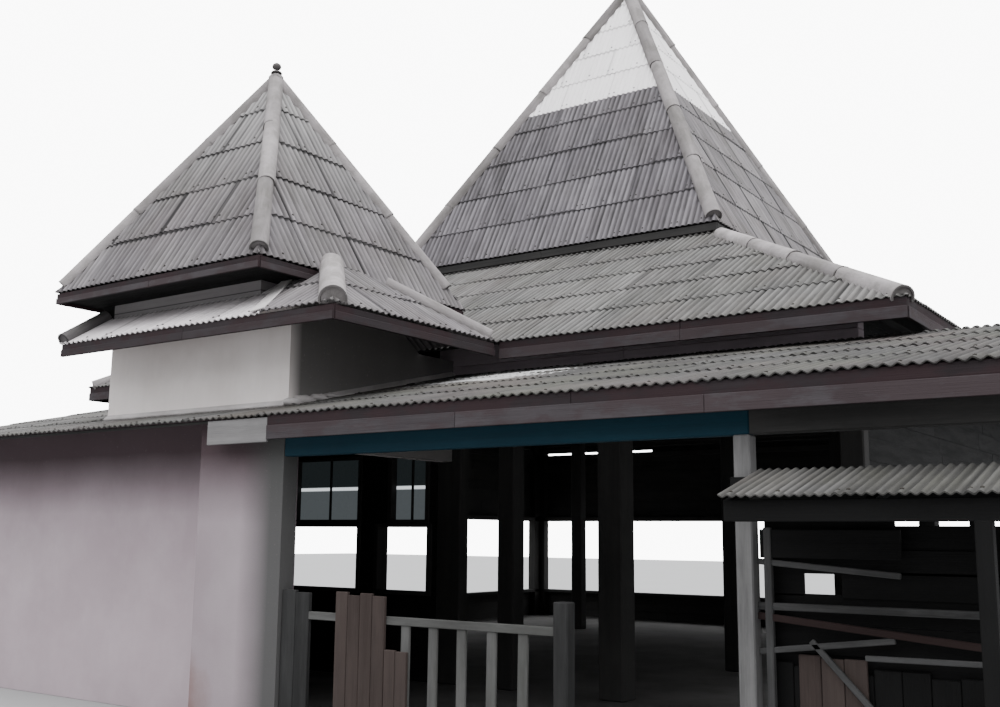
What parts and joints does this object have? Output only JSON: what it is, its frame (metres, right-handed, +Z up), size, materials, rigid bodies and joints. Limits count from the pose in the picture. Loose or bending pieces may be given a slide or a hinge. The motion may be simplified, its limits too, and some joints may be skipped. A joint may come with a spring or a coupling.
{
  "type": "hall with pyramid roofs",
  "caption": "Open-sided village hall with two steep pyramid roofs over hipped skirt roofs, a lean-to verandah across the front and a small stall roof.",
  "frame": {"origin": "point at ground level under the middle of the bounding box, on the underside of the hall floor", "axes": "+Z up, +X to the right along the verandah, +Y from the verandah into the hall"},
  "size_m": [11.7062, 13.3782, 9.8533],
  "materials": {
    "concrete": "rough",
    "pale_sheet": "rough",
    "ridge_cap": "rough",
    "fascia_board": "worn paint",
    "cream_plaster": "rough",
    "pink_plaster": "rough",
    "window_glass": "smooth",
    "blue_beam": "worn paint",
    "grey_wood": "weathered",
    "brown_board": "weathered",
    "roof_sheet": "rough",
    "dark_wood": "aged"
  },
  "bodies": {
    "root": {"hall_floor": "concrete", "verandah_floor": "concrete", "hall_skirt_front": "roof_sheet", "hall_skirt_right": "roof_sheet", "hall_skirt_back": "roof_sheet", "hall_skirt_left": "roof_sheet", "spire_front": "roof_sheet", "spire_right": "roof_sheet", "spire_back": "roof_sheet", "spire_left": "roof_sheet", "spire_frame": "dark_wood", "spire_fascia": "dark_wood", "spire_hip_caps": "ridge_cap", "hall_skirt_cap_front_left": "ridge_cap", "hall_skirt_cap_front_right": "ridge_cap", "hall_skirt_cap_back_right": "ridge_cap", "hall_skirt_cap_back_left": "ridge_cap", "hall_fascia": "fascia_board", "hall_back_wall": "dark_wood", "hall_left_wall": "dark_wood", "hall_right_wall": "dark_wood", "upper_light_left": "window_glass", "upper_light_right": "window_glass", "window_wall": "dark_wood", "hall_front_frame": "dark_wood", "lower_front_wall": "pink_plaster", "room_end_wall": "pink_plaster", "tower_upper_walls": "cream_plaster", "tower_drum": "dark_wood", "tower_spire_front": "roof_sheet", "tower_spire_right": "roof_sheet", "tower_spire_back": "roof_sheet", "tower_spire_left": "roof_sheet", "tower_spire_fascia": "fascia_board", "tower_skirt_right": "roof_sheet", "tower_skirt_back": "roof_sheet", "tower_skirt_front": "roof_sheet", "tower_apron": "pale_sheet", "tower_hip_cap": "ridge_cap", "tower_back_hip_cap": "ridge_cap", "tower_verge_cap": "ridge_cap", "tower_spire_caps": "ridge_cap", "tower_fascia": "fascia_board", "lean_to_roof": "roof_sheet", "verandah_roof": "roof_sheet", "verandah_fascia": "fascia_board", "pale_board": "grey_wood", "verandah_beam": "blue_beam", "front_pier": "pink_plaster", "main_post": "grey_wood", "corner_post": "grey_wood", "balustrade": "grey_wood", "board_panel": "brown_board", "stall_roof": "roof_sheet", "stall_frame": "dark_wood", "stall_rails": "grey_wood", "stall_panel": "brown_board", "stall_low_boards": "dark_wood", "spire_finial": "ridge_cap", "tower_finial": "ridge_cap"}
  },
  "joints": []
}
